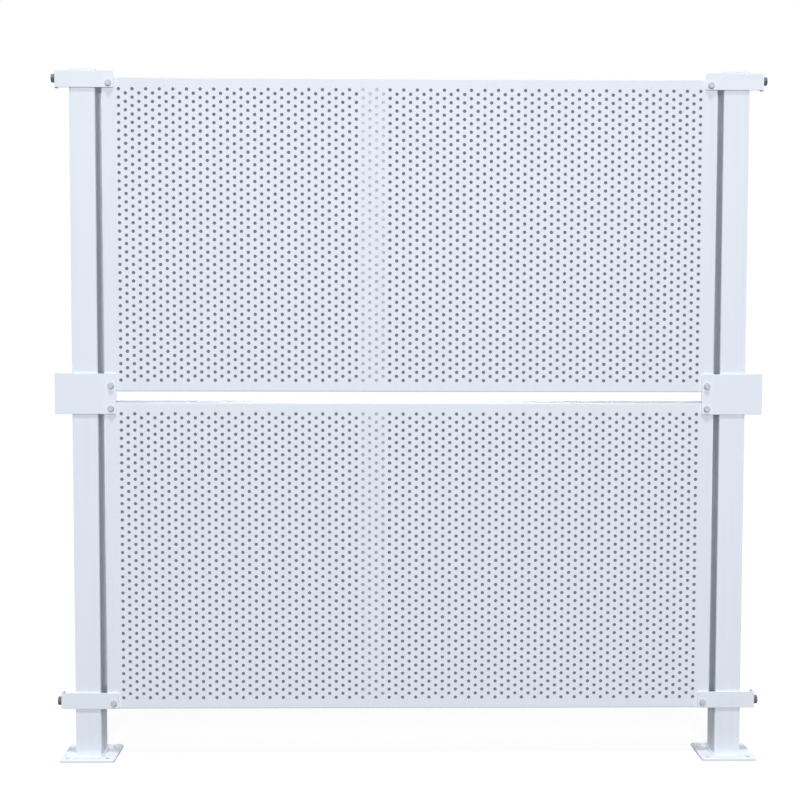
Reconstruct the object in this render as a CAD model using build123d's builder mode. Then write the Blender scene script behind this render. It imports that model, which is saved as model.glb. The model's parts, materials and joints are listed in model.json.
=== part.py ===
"""One bay of a perforated steel site hoarding.

Two tubular posts on base plates carry two closed sheet-steel panels, one above the other. Six clamps
hold the corners of the panels flush with the posts: each has a front strap, hooked round the far side
of its post, and a flat strap behind post and panel.

Millimetres, +Z up. The origin is the middle of the left base plate's underside. +X runs along the
bay to the right post, and the front of the panels faces -Y.
"""

import os

from build123d import *

os.makedirs("parts", exist_ok=True)

# Bay: the posts' spacing and the heights of the panels
bay = 2000.0
panel_lift = 160.0
panel_height = 957.0
panel_slit = 34.0
panel_gap = 18.0

# Posts: rectangular tube with rounded corners, its narrow side to the front
post_width = 80.0
post_depth = 100.0
post_wall = 3.0
post_corner = 6.0
post_rise = 23.0

# Base plates: anchored by one bolt near each corner
plate_side = 170.0
plate_thick = 8.0
plate_corner = 8.0
plate_chamfer = 2.0
anchor_spacing = 124.0
anchor_hole = 14.0

# Post caps: a plate with a hollow spigot in the tube
cap_thick = 4.0
cap_edge = 1.5
cap_spigot = 16.0
cap_spigot_wall = 2.0
cap_clearance = 0.3

# Panels: a folded face tray closed by a back sheet, stiffened by one top-hat rib
face_sheet = 1.5
back_sheet = 1.0
fold_radius = 4.0
return_lip = 25.0
rib_middle = 831.0
rib_width = 84.0
rib_flange = 18.0
rib_sheet = 1.5
rib_end_clearance = 1.0

# Sound absorber: a slab each side of the rib, held against the face
absorber_thick = 50.0
absorber_clearance = 4.0

# Clamps: a front strap hooked round the post and a flat rear strap, both across post and panel
clamp_strap = 5.0
clamp_bend = 9.0
clamp_reach = 96.0
clamp_return = 48.0
clamp_tip_radius = 5.0
clamp_hook_radius = 20.0
edge_clamp_height = 50.0
edge_clamp_tail = 84.0
top_clamp_rise = 19.0
bottom_clamp_lift = 1.0
middle_clamp_height = 125.0
middle_clamp_tail = 93.0
middle_clamp_rise = 10.0

# Through bolts: one holds the two straps of a clamp together at each corner of a panel
through_hole = 11.0
through_from_tip = 16.0
through_from_edge = 18.0

# Set bolts: they pull the top and bottom clamps tight against the post
bolt_diameter = 16.0
bolt_clearance = 0.5
bolt_flats = 24.0
bolt_head = 10.0
bolt_head_chamfer = 1.2
bolt_offset = 5.0
bolt_setback = 22.0
washer_diameter = 30.0
washer_thick = 3.0
nut_thick = 13.0

# Places that follow from the sizes above
post_half = post_width / 2
panel_left = post_half + panel_gap
panel_width = bay - 2 * panel_left
panel_depth = post_depth
front_y = -panel_depth / 2
back_y = panel_depth / 2
lower_top = panel_lift + panel_height
upper_bottom = lower_top + panel_slit
upper_top = upper_bottom + panel_height
post_head = upper_top + post_rise
rib_x = panel_left + rib_middle
post_places = {"left": (0.0, 1), "right": (bay, -1)}
panel_bottoms = {"lower": panel_lift, "upper": upper_bottom}

# Each clamp level: lower edge, height, tail, and which way its set bolt is offset (0 for no bolt)
clamp_levels = {
    "top": (upper_top + top_clamp_rise - edge_clamp_height, edge_clamp_height, edge_clamp_tail, 1),
    "middle": (
        lower_top + panel_slit / 2 + middle_clamp_rise - middle_clamp_height / 2,
        middle_clamp_height,
        middle_clamp_tail,
        0,
    ),
    "bottom": (panel_lift + bottom_clamp_lift, edge_clamp_height, edge_clamp_tail, -1),
}


def save(piece, name):
    """Label a finished piece and write it under its own name."""
    piece.part.label = name
    export_step(piece.part, f"parts/{name}.step")


def tube_post(name, post_x):
    """Rectangular tube that stands on its base plate."""
    bore = (post_width - 2 * post_wall, post_depth - 2 * post_wall)
    with BuildPart() as post:
        with BuildSketch(Plane((post_x, 0, plate_thick))):
            RectangleRounded(post_width, post_depth, post_corner)
            RectangleRounded(*bore, post_corner - post_wall, mode=Mode.SUBTRACT)
        extrude(amount=post_head - plate_thick)
    save(post, name)


def base_plate(name, post_x):
    """Square plate under a post, drilled for four anchor bolts."""
    with BuildPart() as plate:
        with BuildSketch(Plane((post_x, 0, 0))):
            RectangleRounded(plate_side, plate_side, plate_corner)
        extrude(amount=plate_thick)
        chamfer(plate.faces().sort_by(Axis.Z)[-1].edges(), length=plate_chamfer)
        with Locations((post_x, 0, plate_thick)):
            with GridLocations(anchor_spacing, anchor_spacing, 2, 2):
                Hole(radius=anchor_hole / 2)
    save(plate, name)


def post_cap(name, post_x):
    """Lid of a post: its spigot drops into the tube with a little clearance."""
    inset = post_wall + cap_clearance
    spigot = (post_width - 2 * inset, post_depth - 2 * inset)
    spigot_bore = [side - 2 * cap_spigot_wall for side in spigot]
    seat = Plane((post_x, 0, post_head))
    with BuildPart() as cap:
        with BuildSketch(seat):
            RectangleRounded(post_width, post_depth, post_corner)
        extrude(amount=cap_thick)
        chamfer(cap.faces().sort_by(Axis.Z)[-1].edges(), length=cap_edge)
        with BuildSketch(seat):
            RectangleRounded(*spigot, post_corner - inset)
            Rectangle(*spigot_bore, mode=Mode.SUBTRACT)
        extrude(amount=-cap_spigot)
    save(cap, name)


def face_tray(name, bottom):
    """Face of a panel: a tray folded from sheet, with lips turned in round its open back."""
    tray_depth = panel_depth - back_sheet
    lip_opening = (panel_width - 2 * return_lip, panel_height - 2 * return_lip)
    front = Plane((bay / 2, front_y, bottom + panel_height / 2), x_dir=(1, 0, 0), z_dir=(0, 1, 0))
    with BuildPart() as tray:
        with BuildSketch(front):
            Rectangle(panel_width, panel_height)
        extrude(amount=tray_depth)
        fillet(tray.faces().sort_by(Axis.Y)[0].edges(), radius=fold_radius)
        offset(amount=-face_sheet, openings=tray.faces().sort_by(Axis.Y)[-1])
        with BuildSketch(front.offset(tray_depth)):
            Rectangle(panel_width, panel_height)
            Rectangle(*lip_opening, mode=Mode.SUBTRACT)
        extrude(amount=-face_sheet)
    save(tray, name)


def closing_sheet(name, bottom):
    """Plain sheet that closes the back of a panel, on the lips of its tray."""
    back = Plane((bay / 2, back_y, bottom + panel_height / 2), x_dir=(1, 0, 0), z_dir=(0, 1, 0))
    with BuildPart() as sheet:
        with BuildSketch(back):
            Rectangle(panel_width, panel_height)
        extrude(amount=-back_sheet)
    save(sheet, name)


def top_hat_rib(name, bottom):
    """Upright rib: its crown backs the face and its flanges lie on the closing sheet."""
    crown_y = front_y + face_sheet
    flange_y = back_y - back_sheet
    half = rib_width / 2
    end = return_lip + rib_end_clearance
    half_outline = [
        (0, crown_y),
        (half, crown_y),
        (half, flange_y - rib_sheet),
        (half + rib_flange, flange_y - rib_sheet),
        (half + rib_flange, flange_y),
        (half - rib_sheet, flange_y),
        (half - rib_sheet, crown_y + rib_sheet),
        (0, crown_y + rib_sheet),
    ]
    with BuildPart() as rib:
        with BuildSketch(Plane((rib_x, 0, bottom + end))):
            with BuildLine():
                Polyline(half_outline, close=True)
            make_face()
            mirror(about=Plane.YZ)
        extrude(amount=panel_height - 2 * end)
    save(rib, name)


def absorber_slab(name, bottom, start_x, end_x):
    """Slab of dark absorber that lies against the inside of the face."""
    height = panel_height - 2 * face_sheet - 2 * absorber_clearance
    seat = Plane(
        ((start_x + end_x) / 2, front_y + face_sheet, bottom + panel_height / 2),
        x_dir=(1, 0, 0),
        z_dir=(0, 1, 0),
    )
    with BuildPart() as slab:
        with BuildSketch(seat):
            Rectangle(end_x - start_x, height)
        extrude(amount=absorber_thick)
    save(slab, name)


def bolt_plane(post_x, inward, distance, bottom, height, offset_sign):
    """Plane across the axis of a set bolt, at a distance outward of the post's middle."""
    level = bottom + height / 2 + offset_sign * bolt_offset
    place = (post_x - inward * distance, front_y + bolt_setback, level)
    return Plane(place, x_dir=(0, 1, 0), z_dir=(inward, 0, 0))


def through_plane(post_x, inward, inner_y):
    """Plane across the through bolts of a post's clamps, facing the front; its heights start at 0."""
    bolt_x = post_x + inward * (clamp_reach - through_from_tip)
    return Plane((bolt_x, inner_y, 0), x_dir=(1, 0, 0), z_dir=(0, -1, 0))


def through_places(bottom, height):
    """Places, on that plane, of the panel corners that a strap covers."""
    heights = []
    for panel_bottom in panel_bottoms.values():
        heights.append(panel_bottom + through_from_edge)
        heights.append(panel_bottom + panel_height - through_from_edge)
    return [(0, level) for level in heights if bottom < level < bottom + height]


def hooked_strap(name, post_x, inward, level):
    """Front strap, hooked round the far side of a post, with a weld nut where a set bolt goes in."""
    bottom, height, tail, offset_sign = level
    outer_y = front_y - clamp_strap
    return_y = outer_y + clamp_return
    inner_tail = tail - clamp_strap
    tip_x = post_x + inward * clamp_reach
    outer_x = post_x - inward * tail
    inner_x = post_x - inward * inner_tail
    with BuildPart() as strap:
        with BuildSketch(Plane.XY.offset(bottom)):
            with BuildLine():
                outer = FilletPolyline(
                    (tip_x, outer_y), (outer_x, outer_y), (outer_x, return_y), radius=clamp_bend
                )
                inner = FilletPolyline(
                    (tip_x, front_y),
                    (inner_x, front_y),
                    (inner_x, return_y),
                    radius=clamp_bend - clamp_strap,
                )
                Line(outer @ 0, inner @ 0)
                Line(outer @ 1, inner @ 1)
            make_face()
        extrude(amount=height)
        tip_axis = Axis((post_x, 0, 0), (inward, 0, 0))
        fillet(strap.edges().filter_by(Axis.Y).group_by(tip_axis)[-1], radius=clamp_tip_radius)
        fillet(strap.edges().filter_by(Axis.X).group_by(Axis.Y)[-1], radius=clamp_hook_radius)
        with BuildSketch(through_plane(post_x, inward, front_y)):
            with Locations(*through_places(bottom, height)):
                Circle(through_hole / 2)
        extrude(amount=clamp_strap, mode=Mode.SUBTRACT)
        if offset_sign:
            with BuildSketch(bolt_plane(post_x, inward, inner_tail, bottom, height, offset_sign)):
                RegularPolygon(bolt_flats / 2, 6, major_radius=False)
            extrude(amount=nut_thick)
            with BuildSketch(bolt_plane(post_x, inward, tail, bottom, height, offset_sign)):
                Circle(bolt_diameter / 2 + bolt_clearance)
            extrude(amount=clamp_strap + nut_thick, mode=Mode.SUBTRACT)
    save(strap, name)


def rear_strap(name, post_x, inward, level):
    """Flat strap behind post and panel, cut away where it would cross the slit between the panels."""
    bottom, height = level[:2]
    middle_x = post_x + inward * (clamp_reach - post_half) / 2
    panel_x = post_x + inward * panel_left
    slit_length = 2 * (clamp_reach - panel_left)
    middle = Plane((middle_x, back_y, bottom + height / 2), x_dir=(1, 0, 0), z_dir=(0, 1, 0))
    slit = Plane(
        (panel_x + inward * slit_length / 2, back_y, lower_top + panel_slit / 2),
        x_dir=(1, 0, 0),
        z_dir=(0, 1, 0),
    )
    with BuildPart() as strap:
        with BuildSketch(middle):
            Rectangle(clamp_reach + post_half, height)
        extrude(amount=clamp_strap)
        tip_axis = Axis((post_x, 0, 0), (inward, 0, 0))
        fillet(strap.edges().filter_by(Axis.Y).group_by(tip_axis)[-1], radius=clamp_tip_radius)
        if bottom < lower_top < bottom + height:
            with BuildSketch(slit):
                Rectangle(slit_length, panel_slit)
            extrude(amount=clamp_strap, mode=Mode.SUBTRACT)
        with BuildSketch(through_plane(post_x, inward, back_y + clamp_strap)):
            with Locations(*through_places(bottom, height)):
                Circle(through_hole / 2)
        extrude(amount=clamp_strap, mode=Mode.SUBTRACT)
    save(strap, name)


def set_bolt(name, post_x, inward, level):
    """Hex bolt with a washer on the clamp's end wall and its flat tip against the post."""
    bottom, height, tail, offset_sign = level
    seat = bolt_plane(post_x, inward, tail, bottom, height, offset_sign)
    outward = Axis((post_x, 0, 0), (-inward, 0, 0))
    with BuildPart() as bolt:
        with BuildSketch(seat):
            Circle(washer_diameter / 2)
        extrude(amount=-washer_thick)
        with BuildSketch(seat.offset(-washer_thick)):
            RegularPolygon(bolt_flats / 2, 6, major_radius=False)
        extrude(amount=-bolt_head)
        chamfer(bolt.faces().sort_by(outward)[-1].edges(), length=bolt_head_chamfer)
        with BuildSketch(seat):
            Circle(bolt_diameter / 2)
        extrude(amount=tail - post_half)
    save(bolt, name)


for side, (post_x, inward) in post_places.items():
    base_plate(f"{side}_base_plate", post_x)
    tube_post(f"{side}_post", post_x)
    post_cap(f"{side}_post_cap", post_x)
    for level_name, level in clamp_levels.items():
        hooked_strap(f"{side}_{level_name}_clamp", post_x, inward, level)
        rear_strap(f"{side}_{level_name}_rear_strap", post_x, inward, level)
        if level[-1]:
            set_bolt(f"{side}_{level_name}_set_bolt", post_x, inward, level)

slab_start = panel_left + face_sheet + absorber_clearance
slab_end = bay - slab_start
rib_left = rib_x - rib_width / 2 - absorber_clearance
rib_right = rib_x + rib_width / 2 + absorber_clearance

for panel_name, bottom in panel_bottoms.items():
    face_tray(f"{panel_name}_panel_face", bottom)
    closing_sheet(f"{panel_name}_panel_back", bottom)
    top_hat_rib(f"{panel_name}_panel_rib", bottom)
    absorber_slab(f"{panel_name}_left_absorber", bottom, slab_start, rib_left)
    absorber_slab(f"{panel_name}_right_absorber", bottom, rib_right, slab_end)
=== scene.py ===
# %% [markdown]
# # A perforated site hoarding, dressed for its picture
# The object is one bay of steel hoarding: two tubular posts on base plates, two closed panels with a
# pierced front, six clamps and a few bolts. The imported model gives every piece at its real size. This
# lesson adds what a fabricator and a paint shop add: the holes, the bolts, the rivets, the welds and
# the finish of every surface.

# %% Load the frame
import json
import math

import bpy
import numpy as np
from mathutils import Matrix, Vector


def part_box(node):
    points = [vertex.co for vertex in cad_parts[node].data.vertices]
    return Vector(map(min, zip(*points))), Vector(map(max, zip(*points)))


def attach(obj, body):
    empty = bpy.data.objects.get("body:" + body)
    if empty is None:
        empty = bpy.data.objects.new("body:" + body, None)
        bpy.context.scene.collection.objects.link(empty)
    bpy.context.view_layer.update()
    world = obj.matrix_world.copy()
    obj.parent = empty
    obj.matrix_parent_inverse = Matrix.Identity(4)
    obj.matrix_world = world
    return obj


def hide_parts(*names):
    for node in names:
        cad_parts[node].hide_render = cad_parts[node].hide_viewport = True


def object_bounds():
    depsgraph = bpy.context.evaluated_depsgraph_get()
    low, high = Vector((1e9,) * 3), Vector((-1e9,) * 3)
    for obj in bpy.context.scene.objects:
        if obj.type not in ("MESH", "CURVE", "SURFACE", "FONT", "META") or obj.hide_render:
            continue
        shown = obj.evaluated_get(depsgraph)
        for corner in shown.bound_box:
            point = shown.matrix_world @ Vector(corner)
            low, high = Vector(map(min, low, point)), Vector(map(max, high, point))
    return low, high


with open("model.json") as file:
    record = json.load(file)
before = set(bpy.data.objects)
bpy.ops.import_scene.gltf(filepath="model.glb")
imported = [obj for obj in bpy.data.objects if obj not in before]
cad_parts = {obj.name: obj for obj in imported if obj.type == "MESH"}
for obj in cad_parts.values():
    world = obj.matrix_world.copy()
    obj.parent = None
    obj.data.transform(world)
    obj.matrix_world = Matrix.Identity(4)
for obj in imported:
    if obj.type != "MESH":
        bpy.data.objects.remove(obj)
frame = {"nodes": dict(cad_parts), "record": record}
cad_low, cad_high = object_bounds()
nodes = frame["nodes"]
mm = 0.001
print("nodes:", len(nodes), "box:", tuple(round(v, 3) for v in cad_high - cad_low))

# %% [markdown]
# ## Shared effects as node groups
# Posts, panels and clamps are sprayed in one booth and stand on one site, so their finishes share the
# same effects at different strengths. Copying nodes into each material would work until the first
# change. A node group is built once and placed in each finish with its own values. It gives colours,
# values, heights and normals only, and each finish keeps its own shader.

# %% Helpers: nodes and groups
NUMBER = "NodeSocketFloat"
COLOUR = "NodeSocketColor"
VECTOR = "NodeSocketVector"


def start_group(name, inputs, outputs):
    """New shader group with named sockets; returns the group and its two ends."""
    group = bpy.data.node_groups.new(name, "ShaderNodeTree")
    for label, kind, value in inputs:
        socket = group.interface.new_socket(label, in_out="INPUT", socket_type=kind)
        socket.default_value = value
    for label, kind in outputs:
        group.interface.new_socket(label, in_out="OUTPUT", socket_type=kind)
    return group, group.nodes.new("NodeGroupInput"), group.nodes.new("NodeGroupOutput")


def add_node(tree, kind, **settings):
    """Add one node and set its properties or input values by name."""
    node = tree.nodes.new(kind)
    for key, value in settings.items():
        if hasattr(node, key):
            setattr(node, key, value)
        else:
            node.inputs[key.replace("_", " ")].default_value = value
    return node


def connect(tree, value, socket):
    """Link an output to a socket, or set the socket to a plain value."""
    if isinstance(value, bpy.types.NodeSocket):
        tree.links.new(value, socket)
    else:
        socket.default_value = value


def calculate(tree, operation, *values, clamp=False):
    """One math node on sockets or numbers; returns its output."""
    node = add_node(tree, "ShaderNodeMath", operation=operation, use_clamp=clamp)
    for value, socket in zip(values, node.inputs):
        connect(tree, value, socket)
    return node.outputs[0]


def ramp_between(tree, value, low, high):
    """Map a value that runs from low to high onto 0 to 1, clamped; low may be above high."""
    node = tree.nodes.new("ShaderNodeMapRange")
    for source, label in ((value, "Value"), (low, "From Min"), (high, "From Max")):
        connect(tree, source, node.inputs[label])
    return node.outputs[0]


def noise_at(tree, vector, **settings):
    """Noise texture read at a point; returns its value."""
    node = add_node(tree, "ShaderNodeTexNoise", **settings)
    tree.links.new(vector, node.inputs["Vector"])
    return node.outputs["Fac"]


def blend_colours(tree, share, first, second):
    """Mix two colours, sockets or values, by a share; returns the colour."""
    node = add_node(tree, "ShaderNodeMix", data_type="RGBA")
    colour_inputs = [socket for socket in node.inputs if socket.type == "RGBA"]
    connect(tree, share, node.inputs["Factor"])
    connect(tree, first, colour_inputs[0])
    connect(tree, second, colour_inputs[1])
    return next(socket for socket in node.outputs if socket.type == "RGBA")


# %% [markdown]
# ## Orange peel
# Powder coat is sprayed on as dust and melted in an oven. It never flows quite flat: close up it has
# soft dimples about two millimetres apart, called orange peel, and its gloss drifts a little from
# place to place. Dimples in the mesh would cost millions of points, so they are a bump height.

# %% Group: orange peel
noise_middle = 0.5
dimple_noise = {"Detail": 2.0, "Roughness": 0.45}
drift_noise = {"Scale": 6.0, "Detail": 4.0}


def orange_peel_group():
    """Soft dimples as a height, and a roughness that drifts slowly over the surface."""
    group, entry, exit_ = start_group(
        "orange_peel",
        [
            ("Dimples per metre", NUMBER, 420.0),
            ("Mean roughness", NUMBER, 0.42),
            ("Drift", NUMBER, 0.10),
        ],
        [("Height", NUMBER), ("Roughness", NUMBER)],
    )
    place = group.nodes.new("ShaderNodeNewGeometry").outputs["Position"]
    dimples = add_node(group, "ShaderNodeTexNoise", **dimple_noise)
    group.links.new(place, dimples.inputs["Vector"])
    group.links.new(entry.outputs["Dimples per metre"], dimples.inputs["Scale"])
    group.links.new(dimples.outputs["Fac"], exit_.inputs["Height"])
    drift = calculate(group, "SUBTRACT", noise_at(group, place, **drift_noise), noise_middle)
    drift = calculate(group, "MULTIPLY", drift, entry.outputs["Drift"])
    rough = calculate(group, "ADD", drift, entry.outputs["Mean roughness"])
    group.links.new(rough, exit_.inputs["Roughness"])
    return group


orange_peel = orange_peel_group()
print("group:", orange_peel.name)

# %% [markdown]
# ## Dust from the site
# White steel outdoors shows what falls on it. Rain draws thin upright streaks, and wheels and boots
# splash the lowest stretch with fine spots. Painting them would need an image for every piece, so both
# are masks made from the place in the room: noise stretched along Z gives streaks, and a fade with
# height times a fine noise gives splash.
# On the rib inside each panel the same fade, stretched over the whole height, is painted shade.

# %% Group: site dust, and painted shade on the rib
streaks_per_metre = (38.0, 38.0, 1.6)
streak_noise = {"Scale": 1.0, "Detail": 5.0, "Roughness": 0.6}
streak_limits = (0.48, 0.78)
spot_noise = {"Scale": 55.0, "Detail": 6.0, "Roughness": 0.7}


def site_dust_and_shade_group():
    """Greys a clean colour in upright streaks, and in spots near the ground; on the rib the fade paints
    shade.
    """
    group, entry, exit_ = start_group(
        "site_dust_and_shade",
        [
            ("Clean", COLOUR, (0.8, 0.8, 0.8, 1.0)),
            ("Dust", COLOUR, (0.40, 0.39, 0.37, 1.0)),
            ("Streaks", NUMBER, 0.06),
            ("Splash", NUMBER, 0.2),
            ("Splash height", NUMBER, 0.3),
        ],
        [("Color", COLOUR), ("Dusty", NUMBER)],
    )
    place = group.nodes.new("ShaderNodeNewGeometry").outputs["Position"]
    stretch = add_node(group, "ShaderNodeMapping", Scale=streaks_per_metre)
    group.links.new(place, stretch.inputs["Vector"])
    streaks = noise_at(group, stretch.outputs[0], **streak_noise)
    streaks = ramp_between(group, streaks, *streak_limits)
    streaks = calculate(group, "MULTIPLY", streaks, entry.outputs["Streaks"])
    axes = group.nodes.new("ShaderNodeSeparateXYZ")
    group.links.new(place, axes.inputs[0])
    low_down = ramp_between(group, axes.outputs["Z"], entry.outputs["Splash height"], 0.0)
    spots = noise_at(group, place, **spot_noise)
    splash = calculate(group, "MULTIPLY", low_down, spots)
    splash = calculate(group, "MULTIPLY", splash, entry.outputs["Splash"])
    dusty = calculate(group, "ADD", streaks, splash, clamp=True)
    colour = blend_colours(group, dusty, entry.outputs["Clean"], entry.outputs["Dust"])
    group.links.new(colour, exit_.inputs["Color"])
    group.links.new(dusty, exit_.inputs["Dusty"])
    return group


site_dust_and_shade = site_dust_and_shade_group()
print("group:", site_dust_and_shade.name)

# %% [markdown]
# ## Edges
# No sheared strap or sawn plate has a perfectly sharp edge: the coat rounds it off, and handling
# chips it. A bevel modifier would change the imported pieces, so the Bevel node rounds only the normal.
# Where that normal leaves the flat of the face there is an edge, which makes a mask for small chips.

# %% Group: worn edge
bevel_samples = 4
edge_limits = (0.97, 0.80)
chip_noise = {"Scale": 160.0, "Detail": 5.0, "Roughness": 0.65}
chip_limits = (0.52, 0.64)


def worn_edge_group():
    """Rounded normal near sharp edges, and a broken mask where the coat has chipped."""
    group, entry, exit_ = start_group(
        "worn_edge",
        [("Radius", NUMBER, 0.0012), ("Amount", NUMBER, 0.5)],
        [("Normal", VECTOR), ("Wear", NUMBER)],
    )
    surface = group.nodes.new("ShaderNodeNewGeometry")
    rounded = add_node(group, "ShaderNodeBevel", samples=bevel_samples)
    group.links.new(entry.outputs["Radius"], rounded.inputs["Radius"])
    group.links.new(rounded.outputs["Normal"], exit_.inputs["Normal"])
    likeness = add_node(group, "ShaderNodeVectorMath", operation="DOT_PRODUCT")
    group.links.new(rounded.outputs["Normal"], likeness.inputs[0])
    group.links.new(surface.outputs["Normal"], likeness.inputs[1])
    edge = ramp_between(group, likeness.outputs["Value"], *edge_limits)
    chips = noise_at(group, surface.outputs["Position"], **chip_noise)
    chips = ramp_between(group, chips, *chip_limits)
    wear = calculate(group, "MULTIPLY", edge, chips)
    wear = calculate(group, "MULTIPLY", wear, entry.outputs["Amount"])
    group.links.new(wear, exit_.inputs["Wear"])
    return group


worn_edge = worn_edge_group()
print("group:", worn_edge.name)

# %% [markdown]
# ## Crystals on metal
# Zinc freezes on steel in patches of slightly different grey, and blackened steel has a fine grain of
# its own. Noise alone has no borders between its patches, so one Voronoi pattern gives both, coarse for
# a galvanized sheet and fine for a plated bolt. Lighter patches are a little smoother.

# %% Group: metal grain
grain_noise = {"Scale": 1400.0, "Detail": 3.0}
patch_middle = 1.0
light_patch_polish = -0.12


def metal_grain_group():
    """Patchy grey from crystal cells and a fine grain, and a roughness that follows them."""
    group, entry, exit_ = start_group(
        "metal_grain",
        [
            ("Tone", COLOUR, (0.4, 0.4, 0.4, 1.0)),
            ("Cells per metre", NUMBER, 90.0),
            ("Contrast", NUMBER, 0.25),
            ("Mean roughness", NUMBER, 0.4),
        ],
        [("Color", COLOUR), ("Roughness", NUMBER)],
    )
    place = group.nodes.new("ShaderNodeNewGeometry").outputs["Position"]
    cells = group.nodes.new("ShaderNodeTexVoronoi")
    group.links.new(place, cells.inputs["Vector"])
    group.links.new(entry.outputs["Cells per metre"], cells.inputs["Scale"])
    channel = group.nodes.new("ShaderNodeSeparateColor")
    group.links.new(cells.outputs["Color"], channel.inputs[0])
    grain = noise_at(group, place, **grain_noise)
    patch = calculate(group, "ADD", channel.outputs["Red"], grain)
    patch = calculate(group, "SUBTRACT", patch, patch_middle)
    level = calculate(group, "MULTIPLY_ADD", patch, entry.outputs["Contrast"], 1.0)
    tone = add_node(group, "ShaderNodeVectorMath", operation="SCALE")
    group.links.new(entry.outputs["Tone"], tone.inputs[0])
    group.links.new(level, tone.inputs["Scale"])
    group.links.new(tone.outputs[0], exit_.inputs["Color"])
    polish = calculate(group, "MULTIPLY", patch, light_patch_polish)
    rough = calculate(group, "ADD", polish, entry.outputs["Mean roughness"])
    group.links.new(rough, exit_.inputs["Roughness"])
    return group


metal_grain = metal_grain_group()
print("group:", metal_grain.name)

# %% [markdown]
# ## The white coat
# The whole hoarding is sprayed one cool white. Posts, panels and clamps hang in the oven as separate
# batches, so the three finishes share their groups and differ a little in tone, roughness and dust. One
# flat white would do from afar, but close up it looks like plastic. The shader is a plain dielectric
# with a weak clear coat, because powder coat shines more than its pigment.

# %% Helpers: finishes
def start_finish(name):
    """New material with a Principled shader and an output."""
    finish = bpy.data.materials.new(name)
    finish.use_nodes = True
    tree = finish.node_tree
    tree.nodes.clear()
    shader = tree.nodes.new("ShaderNodeBsdfPrincipled")
    output = tree.nodes.new("ShaderNodeOutputMaterial")
    tree.links.new(shader.outputs[0], output.inputs[0])
    return finish, tree, shader


def add_group(tree, group, **values):
    """Place a shared group in a finish with its own values."""
    node = tree.nodes.new("ShaderNodeGroup")
    node.node_tree = group
    for key, value in values.items():
        node.inputs[key.replace("_", " ")].default_value = value
    return node


# %% Finish: powder coat
primer_grey = (0.36, 0.37, 0.39, 1.0)
dust_dulls = 0.35
peel_strength = 0.12
peel_depth = 0.6 * mm
coat_shine = {"Specular IOR Level": 0.35, "Coat Weight": 0.05, "Coat Roughness": 0.3}


def powder_coat(name, clean, roughness, streaks, splash, chips):
    """White powder coat over steel, with orange peel, streaks, splash and chipped edges."""
    finish, tree, shader = start_finish(name)
    dust_and_shade = add_group(tree, site_dust_and_shade, Clean=(*clean, 1.0), Streaks=streaks, Splash=splash)
    peel = add_group(tree, orange_peel, Mean_roughness=roughness)
    bump = add_node(tree, "ShaderNodeBump", Strength=peel_strength, Distance=peel_depth)
    colour = dust_and_shade.outputs["Color"]
    if chips:
        edge = add_group(tree, worn_edge, Amount=chips)
        colour = blend_colours(tree, edge.outputs["Wear"], colour, primer_grey)
        tree.links.new(edge.outputs["Normal"], bump.inputs["Normal"])
    dull = calculate(tree, "MULTIPLY", dust_and_shade.outputs["Dusty"], dust_dulls)
    dull = calculate(tree, "ADD", dull, peel.outputs["Roughness"])
    tree.links.new(colour, shader.inputs["Base Color"])
    tree.links.new(dull, shader.inputs["Roughness"])
    tree.links.new(peel.outputs["Height"], bump.inputs["Height"])
    tree.links.new(bump.outputs["Normal"], shader.inputs["Normal"])
    for label, value in coat_shine.items():
        shader.inputs[label].default_value = value
    return finish


coats = {
    "post_coat": dict(clean=(0.76, 0.815, 0.905), roughness=0.50, streaks=0.07, splash=0.16, chips=0.35),
    "panel_coat": dict(clean=(0.75, 0.805, 0.89), roughness=0.52, streaks=0.06, splash=0.12, chips=0.0),
    "clamp_coat": dict(clean=(0.765, 0.82, 0.905), roughness=0.46, streaks=0.05, splash=0.14, chips=0.5),
}
finishes = {name: powder_coat(name, **look) for name, look in coats.items()}
print("coats:", list(finishes))

# %% [markdown]
# ## Bare metal
# The set bolts are blackened, the bolts at the panel corners and the rivets behind are zinc plated, and
# the rib inside each panel is cut from galvanized sheet. A full metal would mirror the white sky, but
# dull zinc and black oxide hardly do, so each finish has its own share of metal. Rubbed edges of the
# bolts show bright steel, which is the worn edge group at work again. The rib is also painted darker
# from the top of the hoarding down to the ground. This is painted shade, made with the fade of the
# dust group, so the light strip of the rib behind the holes fades downwards.

# %% Finish: zinc and black steel
bright_steel = (0.42, 0.42, 0.43, 1.0)
# Painted shade on the rib: this grey and this height darken it towards the ground.
rib_painted_shade = (0.17, 0.18, 0.20, 1.0)
rib_painted_shade_height = 2.2
rubbed_radius = 0.8 * mm


def bare_metal(name, tone, cells, contrast, roughness, metallic, rubbed, painted_shade=0.0):
    """Zinc or blackened steel with crystals, grain and rubbed edges, and painted shade towards the ground
    where asked.
    """
    finish, tree, shader = start_finish(name)
    grain = add_group(
        tree, metal_grain,
        Tone=(*tone, 1.0), Cells_per_metre=cells, Contrast=contrast, Mean_roughness=roughness,
    )
    edge = add_group(tree, worn_edge, Radius=rubbed_radius, Amount=rubbed)
    colour = grain.outputs["Color"]
    # Painted shade: the fade of the dust group darkens the rib towards the ground.
    if painted_shade:
        dust_and_shade = add_group(
            tree, site_dust_and_shade, Dust=rib_painted_shade, Splash=painted_shade, Splash_height=rib_painted_shade_height
        )
        tree.links.new(colour, dust_and_shade.inputs["Clean"])
        colour = dust_and_shade.outputs["Color"]
    colour = blend_colours(tree, edge.outputs["Wear"], colour, bright_steel)
    tree.links.new(colour, shader.inputs["Base Color"])
    tree.links.new(grain.outputs["Roughness"], shader.inputs["Roughness"])
    tree.links.new(edge.outputs["Normal"], shader.inputs["Normal"])
    shader.inputs["Metallic"].default_value = metallic
    return finish


finishes["bolt_steel"] = bare_metal(
    "bolt_steel", (0.09, 0.09, 0.105),
    cells=900.0, contrast=0.35, roughness=0.45, metallic=0.6, rubbed=0.6,
)
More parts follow.
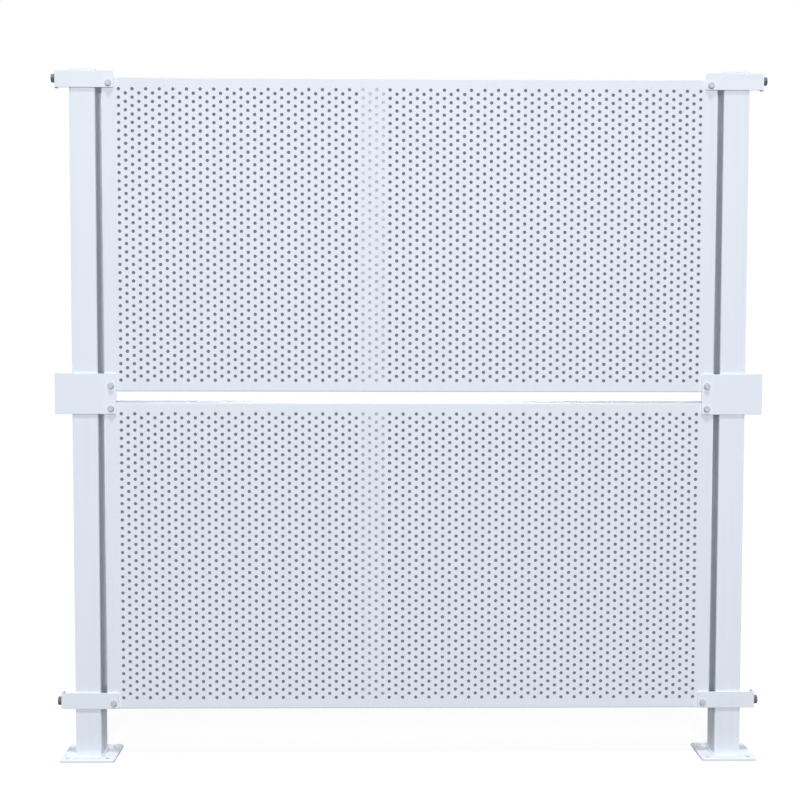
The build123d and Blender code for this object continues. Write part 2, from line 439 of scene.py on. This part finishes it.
# Galvanized rib, with painted shade darkening it towards the ground.
finishes["zinc_steel"] = bare_metal(
    "zinc_steel", (0.435, 0.472, 0.53),
    cells=80.0, contrast=0.22, roughness=0.55, metallic=0.15, rubbed=0.1, painted_shade=1.75,
)
zinc_plate = bare_metal(
    "zinc_plate", (0.46, 0.485, 0.525),
    cells=900.0, contrast=0.25, roughness=0.6, metallic=0.25, rubbed=0.3,
)
print("metals:", zinc_plate.name, [name for name in finishes if name.endswith("steel")])

# %% [markdown]
# ## Fleece
# Behind the holes lies a slab of mineral wool under a needled fleece, which keeps fibres in. The
# fleece's dark colour is painted shade, standing for the dark seen through the holes. A cloth
# simulation would be lost behind ten-millimetre holes. A fine noise makes the short fibres, as colour
# and as bump, with nearly no gloss.

# %% Finish: absorber fleece
fibre_noise = {"Scale": 900.0, "Detail": 6.0, "Roughness": 0.75}
fibre_limits = (0.3, 0.75)
fibre_strength = 0.6
fibre_depth = 1.0 * mm
fleece_roughness = 0.95
# Painted shade: the fleece is dark so that the holes look as dark as the space seen through them.
fleece_painted_shade_dark = (0.13, 0.145, 0.175)
fleece_painted_shade_light = (0.25, 0.275, 0.325)


def fleece(name, dark, light):
    """Needled fleece: short fibres in every direction, in dark colours that are painted shade."""
    finish, tree, shader = start_finish(name)
    place = tree.nodes.new("ShaderNodeNewGeometry").outputs["Position"]
    fibres = noise_at(tree, place, **fibre_noise)
    share = ramp_between(tree, fibres, *fibre_limits)
    colour = blend_colours(tree, share, (*dark, 1.0), (*light, 1.0))
    bump = add_node(tree, "ShaderNodeBump", Strength=fibre_strength, Distance=fibre_depth)
    tree.links.new(fibres, bump.inputs["Height"])
    tree.links.new(colour, shader.inputs["Base Color"])
    tree.links.new(bump.outputs["Normal"], shader.inputs["Normal"])
    shader.inputs["Roughness"].default_value = fleece_roughness
    return finish


finishes["absorber_fleece"] = fleece("absorber_fleece", fleece_painted_shade_dark, fleece_painted_shade_light)
print("fleece:", finishes["absorber_fleece"].name)

# %% [markdown]
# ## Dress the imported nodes
# Posts, plates, caps, clamps, set bolts, back sheets, ribs and absorbers already have the right shape.
# Their finishes could be picked by hand, node by node. Instead each node takes the finish of the slot
# that the record names for it, so a finish is changed in one place.

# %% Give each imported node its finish
for entry in frame["record"]["subparts"]:
    dressed = nodes[entry["node"]]
    dressed.data.materials.clear()
    dressed.data.materials.append(finishes[entry["material_slot"]])
print("dressed nodes:", len(nodes))

# %% [markdown]
# ## Pieces from lists of points
# Holes, bolts and rivets repeat by the thousand. They could be modelled once and copied by hand or by
# an array modifier, but a list of points and a list of faces is quicker to check and never drifts. One
# helper turns such lists into an object, gives it a finish, and names the body that carries it.

# %% Helper: a mesh piece on the frame
def add_piece(name, points, faces, finish, slot, smooth_faces=()):
    """Make a mesh object that rides on the hoarding's one body."""
    mesh = bpy.data.meshes.new(name)
    mesh.from_pydata([tuple(p) for p in points], [], faces)
    mesh.materials.append(finish)
    flags = np.zeros(len(mesh.polygons), dtype=bool)
    flags[list(smooth_faces)] = True
    mesh.polygons.foreach_set("use_smooth", flags)
    mesh.update()
    piece = bpy.data.objects.new(name, mesh)
    bpy.context.scene.collection.objects.link(piece)
    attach(piece, "root")
    return piece


# %% [markdown]
# ## The perforated faces
# A punch press strikes staggered columns of round holes before the face is folded. A texture with
# transparency could fake them, but light has to fall through each hole onto the dark fleece, and the
# holes have to survive a close look, so they are cut as real holes.
#
# The field is a lattice. Each hole sits in a cell with six corners: four, and one halfway up each side
# where the staggered neighbours meet. Six five-sided faces join the cell to a round of twelve points.
# The front, the inner side of the sheet and the hole walls then close to one clean shell.

# %% Sizes of the face
hole_across = 10.7 * mm
hole_sides = 12
cell_corners = 6
column_step = 20.68 * mm
hole_pitch = 25.35 * mm
columns = 87
rows = 36
sheet_thick = 1.5 * mm
fold_radius = 4.0 * mm
fold_steps = 5
return_lip = 25.0 * mm
open_share = math.pi / 4 * hole_across**2 / (column_step * hole_pitch)
print("columns of holes:", columns, "open share of the field:", round(open_share, 3))


# %% Points of the pierced field
def lattice_points(low, high):
    """Lattice lines, hole cells and their points in the plane of the face, as (x, z)."""
    line_x = (low[0] + high[0]) / 2 + column_step * (np.arange(columns + 1) - columns / 2)
    half_z = (low[2] + high[2]) / 2 + hole_pitch / 2 * (np.arange(2 * rows + 1) - rows)
    cells = [(c, j) for c in range(columns) for j in range(c % 2, 2 * rows - 1, 2)]
    turns = 2 * math.pi * np.arange(hole_sides) / hole_sides
    ring = hole_across / 2 * np.stack([np.cos(turns), np.sin(turns)], axis=1)
    centres = np.array([((line_x[c] + line_x[c + 1]) / 2, half_z[j + 1]) for c, j in cells])
    holes = (centres[:, None, :] + ring[None, :, :]).reshape(-1, 2)
    lattice = np.stack(np.meshgrid(line_x, half_z, indexing="ij"), axis=-1).reshape(-1, 2)
    return np.concatenate([lattice, holes]), cells


# %% Faces of the pierced field
lines_up = 2 * rows + 1


def lattice_corner(column, half_row):
    """Number of a lattice point."""
    return column * lines_up + half_row


def pierced_faces(cells, layer):
    """Faces round each hole on both sides of the sheet, and the hole walls, as point numbers."""
    faces = []
    walls = []
    hole_start = (columns + 1) * lines_up
    for index, (c, j) in enumerate(cells):
        first = hole_start + index * hole_sides
        around = ((c + 1, j + 1), (c + 1, j + 2), (c, j + 2), (c, j + 1), (c, j), (c + 1, j))
        corners = [lattice_corner(*place) for place in around]
        for k in range(cell_corners):
            arc = [first + (2 * k + step) % hole_sides for step in (2, 1, 0)]
            faces.append([corners[k], corners[(k + 1) % cell_corners], *arc])
        for k in range(hole_sides):
            a = first + k
            b = first + (k + 1) % hole_sides
            walls.append([a, b, b + layer, a + layer])
    for c in range(1, columns, 2):
        for j in (0, 2 * rows - 1):
            half_cell = ((c, j), (c + 1, j), (c + 1, j + 1), (c, j + 1))
            faces.append([lattice_corner(*place) for place in half_cell])
    inner = [[v + layer for v in reversed(face)] for face in faces]
    return faces + inner, walls


def field_edges():
    """Point numbers along the four sides of the field, in turn from the lower left corner."""
    return [
        [lattice_corner(c, 0) for c in range(columns + 1)],
        [lattice_corner(columns, j) for j in range(lines_up)],
        [lattice_corner(c, lines_up - 1) for c in range(columns, -1, -1)],
        [lattice_corner(0, j) for j in range(lines_up - 1, -1, -1)],
    ]


# %% [markdown]
# ## The folds
# Round the field the sheet is bent back on all four sides and turned in once more behind, as a lip for
# the back sheet. A bevel modifier would round the cut edges too. The fold is the same all round, so its
# section is written once, as how far in and how deep each bend lies, and drawn at the four corners.
# Only the bends are shaded smooth.

# %% Section of the folded rim
tray_corners = 4


def folded_section(front, back):
    """Section of the fold as (inset, depth), from the front flat round to the inner flat."""
    turns = [math.pi / 2 * step / fold_steps for step in range(fold_steps + 1)]
    lip_front = back - sheet_thick
    lip = [(0.0, back), (return_lip, back), (return_lip, lip_front), (sheet_thick, lip_front)]

    def bend(skin, radius):
        insets = [skin + radius * (1 - math.sin(t)) for t in turns]
        depths = [front + skin + radius * (1 - math.cos(t)) for t in turns]
        return list(zip(insets, depths))

    inside = bend(sheet_thick, fold_radius - sheet_thick)
    return bend(0.0, fold_radius) + lip + inside[::-1]


def folded_rim(low, high):
    """Points and faces of the fold round the face, and which faces are bends."""
    section = folded_section(low[1], high[1])
    points = []
    for inset, depth in section:
        left, right = low[0] + inset, high[0] - inset
        bottom, top = low[2] + inset, high[2] - inset
        points += [(left, depth, bottom), (right, depth, bottom), (right, depth, top), (left, depth, top)]
    faces = []
    bends = []
    for level in range(len(section) - 1):
        for k in range(tray_corners):
            a = tray_corners * level + k
            b = tray_corners * level + (k + 1) % tray_corners
            if level < fold_steps or level >= len(section) - 1 - fold_steps:
                bends.append(len(faces))
            faces.append([a, a + tray_corners, b + tray_corners, b])
    return points, faces, bends


# %% Build both faces
def pierced_tray(name, node):
    """Perforated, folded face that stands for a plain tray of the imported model."""
    low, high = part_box(node)
    flat, cells = lattice_points(low, high)
    layer = len(flat)
    field, walls = pierced_faces(cells, layer)
    sheets = [
        np.stack([flat[:, 0], np.full(layer, depth), flat[:, 1]], axis=1)
        for depth in (low[1], low[1] + sheet_thick)
    ]
    rim_points, rim_faces, bends = folded_rim(low, high)
    start = 2 * layer
    last = start + len(rim_points) - tray_corners
    faces = walls + [[v + start for v in face] for face in rim_faces] + field
    smooth = list(range(len(walls))) + [len(walls) + k for k in bends]
    for k, edge in enumerate(field_edges()):
        after = (k + 1) % tray_corners
        faces.append([start + k, start + after, *reversed(edge)])
        faces.append([last + after, last + k, *[v + layer for v in edge]])
    points = np.concatenate([*sheets, rim_points])
    piece = add_piece(name, points, faces, finishes["panel_coat"], "panel_coat", smooth)
    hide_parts(node)
    return piece, len(cells)


for panel in ("lower", "upper"):
    tray, hole_count = pierced_tray(f"{panel}_pierced_face", f"{panel}_panel_face")
    tray.data.calc_loop_triangles()
    print(tray.name, "holes:", hole_count, "triangles:", len(tray.data.loop_triangles))

# %% [markdown]
# ## Bolts from stacked rounds
# A washer, a hex head, a nut and a thread are all rounds of points stacked along an axis, so one helper
# closes such a stack to a solid. A hexagon alone looks like a toy: real heads are turned after
# forging, and a cone takes the corners off. So each rim point sinks by how far the hexagon stands out
# beyond the turned circle.

# %% Helpers: stacked rounds
round_steps = 36


def round_loop(radius, height):
    """One round of points; radius and height may be functions of the turn."""
    loop = []
    for k in range(round_steps):
        turn = 2 * math.pi * k / round_steps
        r = radius(turn) if callable(radius) else radius
        h = height(turn) if callable(height) else height
        loop.append((r * math.cos(turn), r * math.sin(turn), h))
    return loop


def stack_rounds(rounds):
    """Closed solid from rounds of points, its two ends closed by flat faces."""
    points = [p for loop in rounds for p in loop]
    faces = [list(range(round_steps - 1, -1, -1))]
    for level in range(len(rounds) - 1):
        for k in range(round_steps):
            a = level * round_steps + k
            b = level * round_steps + (k + 1) % round_steps
            faces.append([a, b, b + round_steps, a + round_steps])
    faces.append(list(range(len(points) - round_steps, len(points))))
    return points, faces


def join_solids(solids):
    """One list of points and faces from several solids."""
    points = []
    faces = []
    for solid_points, solid_faces in solids:
        faces += [[v + len(points) for v in face] for face in solid_faces]
        points += solid_points
    return points, faces


def stand_out(solid, place, outward):
    """Turn an upright solid to point along Y, out of the front (-1) or the back (1), and move it."""
    turn = Matrix.Rotation(-outward * math.pi / 2, 4, "X")
    points, faces = solid
    return [tuple(turn @ Vector(p) + Vector(place)) for p in points], faces


# %% Parts of a bolt
turned_share = 0.96
chamfer_slope = math.tan(math.radians(30))
thread_depth_share = 0.92


def hex_solid(flats, base, height):
    """Hex head or nut on a base, its outer corners turned off by a cone."""
    sixth = math.pi / 3
    turned = turned_share * flats / 2

    def side(turn):
        return flats / 2 / math.cos((turn + sixth / 2) % sixth - sixth / 2)

    def shoulder(turn):
        return base + height - chamfer_slope * (side(turn) - turned)

    top = base + height
    return stack_rounds([round_loop(side, base), round_loop(side, shoulder), round_loop(turned, top)])


def washer_solid(across, height, edge):
    """Washer with a small chamfer."""
    radius = across / 2
    return stack_rounds([
        round_loop(radius, 0.0),
        round_loop(radius, height - edge),
        round_loop(radius - edge, height),
    ])


def thread_solid(across, base, length, pitch):
    """End of a threaded rod: crests and roots in turn, and a chamfered tip."""
    radius = across / 2
    turns = int(length / pitch)
    rounds = []
    for k in range(turns):
        rounds.append(round_loop(radius * thread_depth_share, base + k * pitch))
        rounds.append(round_loop(radius, base + (k + 0.5) * pitch))
    rounds.append(round_loop(radius * thread_depth_share, base + turns * pitch))
    return stack_rounds(rounds)


# %% [markdown]
# ## Bolts at the panel corners
# A zinc-plated bolt goes through each corner of a panel. Its head and washer lie on the front strap,
# and its nut, washer and a little thread stand on the strap behind. The places could be typed in, but
# they are read from the edges of the panels and straps, so the bolts stay in their corners if a panel
# changes.

# %% Shape of a corner bolt
bolt_flats = 16.0 * mm
bolt_head = 6.4 * mm
nut_height = 8.4 * mm
washer_across = 21.0 * mm
washer_thick = 1.8 * mm
washer_edge = 0.4 * mm
thread_across = 10.0 * mm
thread_out = 6.0 * mm
thread_pitch = 1.5 * mm

washer = washer_solid(washer_across, washer_thick, washer_edge)
head_side = join_solids([washer, hex_solid(bolt_flats, washer_thick, bolt_head)])
nut_side = join_solids([
    washer,
    hex_solid(bolt_flats, washer_thick, nut_height),
    thread_solid(thread_across, washer_thick + nut_height, thread_out, thread_pitch),
])
print("bolt, points in front:", len(head_side[0]), "behind:", len(nut_side[0]))

# %% Place the corner bolts
bolt_from_tip = 16.0 * mm
bolt_from_edge = 18.0 * mm

corner_heights = {"top": [], "middle": [], "bottom": []}
for panel, above, below in (("upper", "top", "middle"), ("lower", "middle", "bottom")):
    low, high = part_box(f"{panel}_panel_face")
    corner_heights[above].append(high[2] - bolt_from_edge)
    corner_heights[below].append(low[2] + bolt_from_edge)
strap_tips = {
    "left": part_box("left_top_clamp")[1][0] - bolt_from_tip,
    "right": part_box("right_top_clamp")[0][0] + bolt_from_tip,
}

for side, bolt_x in strap_tips.items():
    for level, heights in corner_heights.items():
        strap_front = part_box(f"{side}_{level}_clamp")[0][1]
        strap_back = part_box(f"{side}_{level}_rear_strap")[1][1]
        solids = []
        for height in heights:
            solids.append(stand_out(head_side, (bolt_x, strap_front, height), -1))
            solids.append(stand_out(nut_side, (bolt_x, strap_back, height), 1))
        add_piece(f"{side}_{level}_panel_bolts", *join_solids(solids), zinc_plate, "zinc_steel")
print("corner bolts:", {level: 2 * len(heights) for level, heights in corner_heights.items()})

# %% [markdown]
# ## Rivets of the back sheets
# The back sheet lies on the lips of the tray and is held by blind rivets, about a hand's length apart,
# and by two columns of rivets into the flanges of the rib. They are set after the coat, so they stay
# bare zinc. A blind rivet is a low dome with a dimple where its mandrel broke off. A bump in the finish
# would have no outline against the light, so each is a small solid. Where a strap lies on the sheet
# there is no room for one, so none is set.

# %% Shape of a rivet
rivet_across = 9.0 * mm
rivet_height = 2.0 * mm
rivet_dimple = 3.0 * mm
dimple_depth_share = 0.4
dimple_floor_share = 0.8
dome_shares = (0.25, 0.5, 0.75, 1.0)


def rivet_solid():
    """Low dome with a dimple in its middle."""
    rim = rivet_dimple / 2
    rounds = [round_loop(rivet_across / 2, 0.0)]
    for share in dome_shares:
        turn = math.pi / 2 * share
        radius = rim + (rivet_across / 2 - rim) * math.cos(turn)
        rounds.append(round_loop(radius, rivet_height * math.sin(turn)))
    rounds.append(round_loop(rim * dimple_floor_share, rivet_height * (1 - dimple_depth_share)))
    return stack_rounds(rounds)


rivet = rivet_solid()
print("rivet points:", len(rivet[0]))

# %% Place the rivets
rivet_spacing = 150.0 * mm
rivet_from_edge = 12.5 * mm
rib_flange_inset = 9.0 * mm


def spread(first, last, spacing):
    """Evenly spaced places from first to last, about a spacing apart."""
    return np.linspace(first, last, round((last - first) / spacing) + 1)


def is_under_strap(x, z):
    """True where a rear strap would lie on a rivet."""
    reach = rivet_across
    for side in ("left", "right"):
        for level in ("top", "middle", "bottom"):
            low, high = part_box(f"{side}_{level}_rear_strap")
            if low[0] - reach < x < high[0] + reach and low[2] - reach < z < high[2] + reach:
                return True
    return False


for panel in ("lower", "upper"):
    low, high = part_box(f"{panel}_panel_back")
    rib_low, rib_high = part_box(f"{panel}_panel_rib")
    across = spread(low[0] + rivet_from_edge, high[0] - rivet_from_edge, rivet_spacing)
    upward = spread(low[2] + rivet_from_edge, high[2] - rivet_from_edge, rivet_spacing)
    flanges = (rib_low[0] + rib_flange_inset, rib_high[0] - rib_flange_inset)
    places = [(x, z) for x in across for z in (upward[0], upward[-1])]
    places += [(x, z) for x in (across[0], *flanges, across[-1]) for z in upward[1:-1]]
    rivets = [stand_out(rivet, (x, high[1], z), 1) for x, z in places if not is_under_strap(x, z)]
    add_piece(f"{panel}_back_rivets", *join_solids(rivets), zinc_plate, "zinc_steel")
    print(panel, "rivets:", len(rivets))

# %% [markdown]
# ## Weld round the foot of each post
# The post is welded to its plate all round, and the coat goes over the weld. A weld bead is a row of
# frozen ripples with a hollow face. A bevel on the post would be too smooth, so the bead is a small
# hollow triangle swept round the foot, its size rippling on the way.

# %% Helper: outline of a post's foot
def rounded_outline(width, depth, corner, step):
    """Points round a rounded rectangle with their outward normals, about a step apart."""
    outline = []
    for quarter in range(4):
        along, out = (depth, width) if quarter % 2 == 0 else (width, depth)
        spin = Matrix.Rotation(math.pi / 2 * quarter, 3, "Z")
        straight = along - 2 * corner
        for y in np.arange(-straight / 2, straight / 2, step):
            outline.append((spin @ Vector((out / 2, y, 0.0)), spin @ Vector((1.0, 0.0, 0.0))))
        bends = max(2, round(math.pi / 2 * corner / step))
        for k in range(bends):
            turn = math.pi / 2 * k / bends
            normal = Vector((math.cos(turn), math.sin(turn), 0.0))
            centre = Vector((out / 2 - corner, straight / 2, 0.0))
            outline.append((spin @ (centre + corner * normal), spin @ normal))
    return outline


# %% Sweep the weld beads
weld_leg = 6.0 * mm
weld_ripple = 0.6 * mm
ripple_length = 4.5 * mm
ripple_samples = 4
post_corner = 6.0 * mm
bead_section_shares = ((0.0, 0.0), (1.0, 0.0), (0.62, 0.2), (0.36, 0.36), (0.2, 0.62), (0.0, 1.0))


def weld_bead(name, post_node, plate_node):
    """Rippled fillet weld between a post and its plate."""
    low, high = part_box(post_node)
    foot = Vector(((low[0] + high[0]) / 2, (low[1] + high[1]) / 2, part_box(plate_node)[1][2]))
    step = ripple_length / ripple_samples
    outline = rounded_outline(high[0] - low[0], high[1] - low[1], post_corner, step)
    width = len(bead_section_shares)
    points = []
    for k, (place, normal) in enumerate(outline):
        ripple = (1 + math.cos(2 * math.pi * k / ripple_samples)) / 2
        leg = weld_leg - weld_ripple * ripple
        for out, up in bead_section_shares:
            points.append(foot + place + normal * (leg * out) + Vector((0.0, 0.0, leg * up)))
    faces = []
    for k in range(len(outline)):
        this = k * width
        after = (k + 1) % len(outline) * width
        for s in range(width):
            t = (s + 1) % width
            faces.append([this + s, after + s, after + t, this + t])
    return add_piece(name, points, faces, finishes["post_coat"], "post_coat", range(len(faces)))


for side in ("left", "right"):
    bead = weld_bead(f"{side}_foot_weld", f"{side}_post", f"{side}_base_plate")
    print(bead.name, "points:", len(bead.data.vertices))

# %% [markdown]
# ## White sky and floor
# The hoarding stands on a plain white floor under a white sky. More light would make them white, but
# it would bleach the coat too. So the camera and the reflections see white, while the light that the
# sky and the floor give the object is set apart. The floor still darkens where the object shades it.

# %% Sky
white = (1.0, 1.0, 1.0, 1.0)
white_strength = 1.0
sky_glow = 0.10


def is_seen(tree):
    """One for camera, glossy and transmission rays, which should meet the white background."""
    path = tree.nodes.new("ShaderNodeLightPath")
    direct = calculate(tree, "MAXIMUM", path.outputs["Is Camera Ray"], path.outputs["Is Glossy Ray"])
    return calculate(tree, "MAXIMUM", direct, path.outputs["Is Transmission Ray"])


def mix_by_ray(tree, unseen, seen, output):
    """Give one shader to lighting rays and another to rays that see the background."""
    choice = tree.nodes.new("ShaderNodeMixShader")
    tree.links.new(is_seen(tree), choice.inputs["Fac"])
    tree.links.new(unseen.outputs[0], choice.inputs[1])
    tree.links.new(seen.outputs[0], choice.inputs[2])
    tree.links.new(choice.outputs[0], output.inputs[0])


sky = bpy.data.worlds.new("white_sky")
sky.use_nodes = True
tree = sky.node_tree
tree.nodes.clear()
glow = add_node(tree, "ShaderNodeBackground", Color=white, Strength=sky_glow)
seen = add_node(tree, "ShaderNodeBackground", Color=white, Strength=white_strength)
mix_by_ray(tree, glow, seen, tree.nodes.new("ShaderNodeOutputWorld"))
bpy.context.scene.world = sky
print("sky:", sky.name, "glow on the object:", sky_glow)

# %% Floor
floor_bounce = (0.14, 0.14, 0.14, 1.0)
floor_lift = 0.90
floor_half = 9.0

floor_finish = bpy.data.materials.new("white_floor")
floor_finish.use_nodes = True
tree = floor_finish.node_tree
tree.nodes.clear()
bounce = add_node(tree, "ShaderNodeBsdfDiffuse", Color=floor_bounce)
lift = add_node(tree, "ShaderNodeEmission", Strength=floor_lift)
lifted = tree.nodes.new("ShaderNodeAddShader")
tree.links.new(bounce.outputs[0], lifted.inputs[0])
tree.links.new(lift.outputs[0], lifted.inputs[1])
mix_by_ray(tree, bounce, lifted, tree.nodes.new("ShaderNodeOutputMaterial"))

bay_middle = (cad_low + cad_high) / 2
square = ((-1, -1), (1, -1), (1, 1), (-1, 1))
floor_points = [(bay_middle.x + x * floor_half, y * floor_half, 0.0) for x, y in square]
floor_mesh = bpy.data.meshes.new("floor")
floor_mesh.from_pydata(floor_points, [], [range(len(floor_points))])
floor_mesh.materials.append(floor_finish)
floor = bpy.data.objects.new("floor", floor_mesh)
bpy.context.scene.collection.objects.link(floor)
print("floor, metres across:", 2 * floor_half)

# %% [markdown]
# ## Lamps
# In the photograph a soft shadow lies under every strap, the rear corners of the base plates are in
# shade and the inner sides of the posts are dark. A lit sky could not throw such shadows, so the main
# light is a sun lamp that falls steeply and straight from the front, helped by a weak low one. A wide
# soft lamp above the camera fills the rest and fades towards the ground, and low lights behind and at
# both ends show the other sides.

# %% Place the lamps
# Height above the floor and turn from the front, both in degrees, strength, and width in degrees.
sun_lights = {
    "steep_light": (69.0, 0.0, 1.75, 9.0),
    "front_light": (16.0, 0.0, 0.55, 6.0),
    "rear_light": (14.0, 180.0, 0.7, 8.0),
    "left_rear_light": (14.0, 150.0, 0.5, 12.0),
    "right_rear_light": (14.0, -150.0, 0.5, 12.0),
    "left_end_light": (9.0, 90.0, 1.0, 8.0),
    "right_end_light": (9.0, -90.0, 1.0, 8.0),
}
fill_power = 300.0
fill_width = 6.0
fill_height = 2.0
fill_place = Vector((1.0, -7.5, 3.2))


def light_path(height, turn):
    """Direction of light that falls from a height; turn 0 comes from the front, more from the left."""
    level = math.cos(height)
    return Vector((level * math.sin(turn), level * math.cos(turn), -math.sin(height)))


def aim_lamp(name, kind, direction, energy):
    """Lamp of a kind whose light runs along a direction."""
    data = bpy.data.lights.new(name, kind)
    data.energy = energy
    lamp = bpy.data.objects.new(name, data)
    lamp.rotation_euler = direction.to_track_quat("-Z", "Y").to_euler()
    bpy.context.scene.collection.objects.link(lamp)
    return lamp


for name, (height, turn, strength, width) in sun_lights.items():
    sun = aim_lamp(name, "SUN", light_path(math.radians(height), math.radians(turn)), strength)
    sun.data.angle = math.radians(width)
fill = aim_lamp("front_fill", "AREA", bay_middle - fill_place, fill_power)
fill.location = fill_place
fill.data.shape = "RECTANGLE"
fill.data.size = fill_width
fill.data.size_y = fill_height

# %% [markdown]
# ## Camera
# The photograph was taken from over four metres, a little left of the middle and below eye height. A
# camera set by eye never lies quite true, so its place, turn and lens follow from the edges of posts and
# panels: upright edges that lean give the tilt, and the inner sides of the posts, one wider than the
# other, give the place.

# %% Place the camera
image_width = 800
focal_pixels = 1402.0
sensor_width = 36.0
camera_place = (0.9007, -4.3742, 1.3674)
camera_turn = math.radians(0.913)
camera_tilt = math.radians(3.199)
camera_roll = math.radians(0.116)

camera_data = bpy.data.cameras.new("camera")
camera_data.sensor_width = sensor_width
camera_data.lens = focal_pixels / image_width * sensor_width
camera = bpy.data.objects.new("camera", camera_data)
aim = Matrix.Rotation(-camera_turn, 4, "Z") @ Matrix.Rotation(math.pi / 2 - camera_tilt, 4, "X")
camera.matrix_world = Matrix.Translation(camera_place) @ aim @ Matrix.Rotation(camera_roll, 4, "Z")
bpy.context.scene.collection.objects.link(camera)
bpy.context.scene.camera = camera
bpy.context.scene.view_settings.view_transform = "Standard"
print("lens:", round(camera_data.lens, 2))
